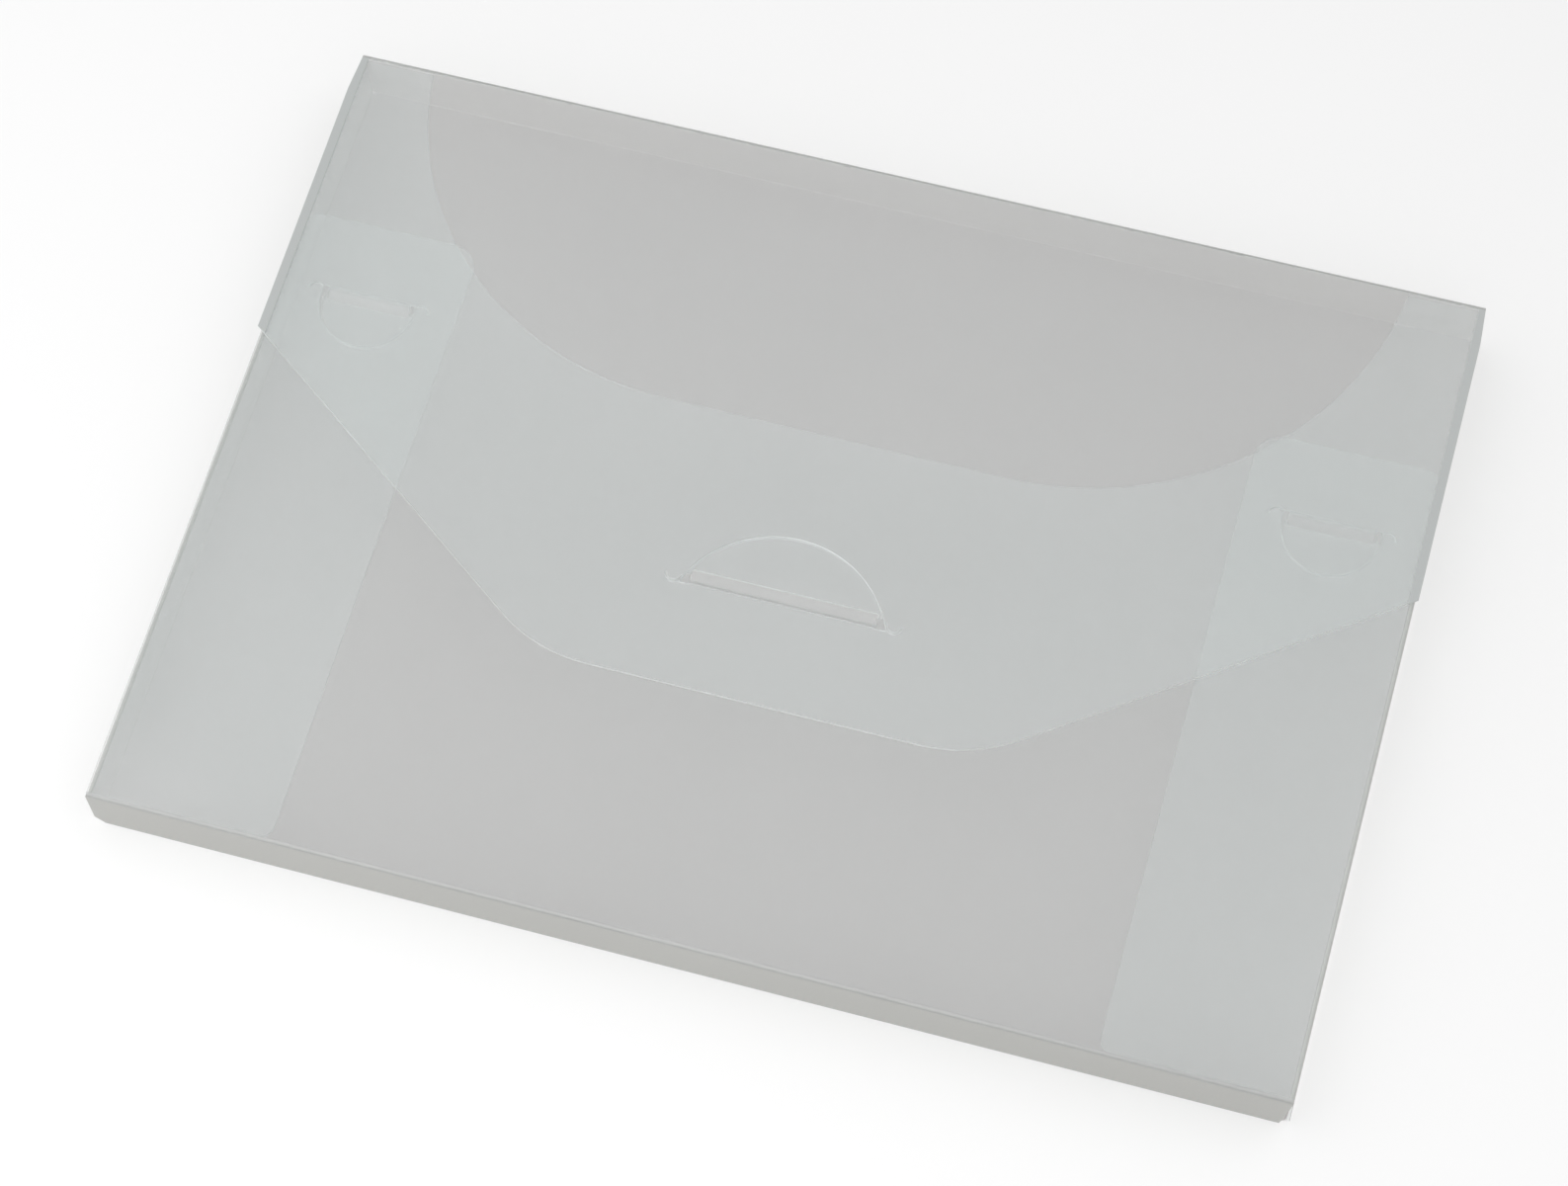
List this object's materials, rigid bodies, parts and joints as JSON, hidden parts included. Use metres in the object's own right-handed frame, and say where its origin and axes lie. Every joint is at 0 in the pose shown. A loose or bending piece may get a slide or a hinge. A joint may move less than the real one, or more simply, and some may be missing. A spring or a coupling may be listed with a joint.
{
  "type": "portfolio case",
  "caption": "Flat frosted plastic carry case folded from one sheet, with a trapezoid closure flap held by a half-moon tuck lock over a front panel with a wide round cut-out.",
  "frame": {"origin": "centre of the back panel's outer face, on which the case lies", "axes": "+X across the width, +Y from the bottom wall to the closure fold, +Z from the back to the closure flap"},
  "size_m": [0.3316, 0.24, 0.0211],
  "materials": {
    "sheet": "frosted translucent sheet, fine sand grain",
    "flap": "frosted translucent sheet, fine sand grain",
    "side_flap": "frosted translucent sheet, fine sand grain",
    "tongue": "frosted translucent sheet, fine sand grain, bright cut edge",
    "crease": "scored and folded line, lightly stress-whitened"
  },
  "bodies": {
    "tray": {"back_panel": "sheet", "bottom_wall": "sheet", "front_panel": "sheet", "left_side_wall": "sheet", "right_side_wall": "sheet", "left_side_flap": "side_flap", "right_side_flap": "side_flap", "back_bottom_crease": "crease", "front_bottom_crease": "crease", "back_left_crease": "crease", "back_right_crease": "crease", "left_flap_crease": "crease", "right_flap_crease": "crease", "back_top_crease": "crease", "closure_tongue_crease": "crease", "left_lock_crease": "crease", "right_lock_crease": "crease"},
    "top_wall": {"top_wall": "sheet", "closure_crease": "crease"},
    "closure_flap": {"closure_flap": "flap"},
    "closure_tongue": {"closure_tongue": "tongue"},
    "left_lock": {"left_lock_tongue": "tongue"},
    "right_lock": {"right_lock_tongue": "tongue"}
  },
  "joints": [
    {"name": "top_wall_fold", "type": "hinge", "parent": "tray", "child": "top_wall", "pos_m": [0, 0.1196, 0.0004], "axis": [-1, 0, 0], "range_deg": [0, 90]},
    {"name": "closure_fold", "type": "hinge", "parent": "top_wall", "child": "closure_flap", "pos_m": [0, 0.1196, 0.0196], "axis": [-1, 0, 0], "range_deg": [0, 90]},
    {"name": "closure_tongue_flex", "type": "hinge", "parent": "tray", "child": "closure_tongue", "pos_m": [0, -0.0175, 0.0185], "axis": [1, 0, 0], "range_deg": [0, 50], "stiffness_Nm_per_rad": 0.01},
    {"name": "left_lock_flex", "type": "hinge", "parent": "tray", "child": "left_lock", "pos_m": [-0.1385, 0.0443, 0.0185], "axis": [1, 0, 0], "range_deg": [0, 50], "stiffness_Nm_per_rad": 0.01},
    {"name": "right_lock_flex", "type": "hinge", "parent": "tray", "child": "right_lock", "pos_m": [0.1385, 0.0443, 0.0185], "axis": [1, 0, 0], "range_deg": [0, 50], "stiffness_Nm_per_rad": 0.01}
  ]
}
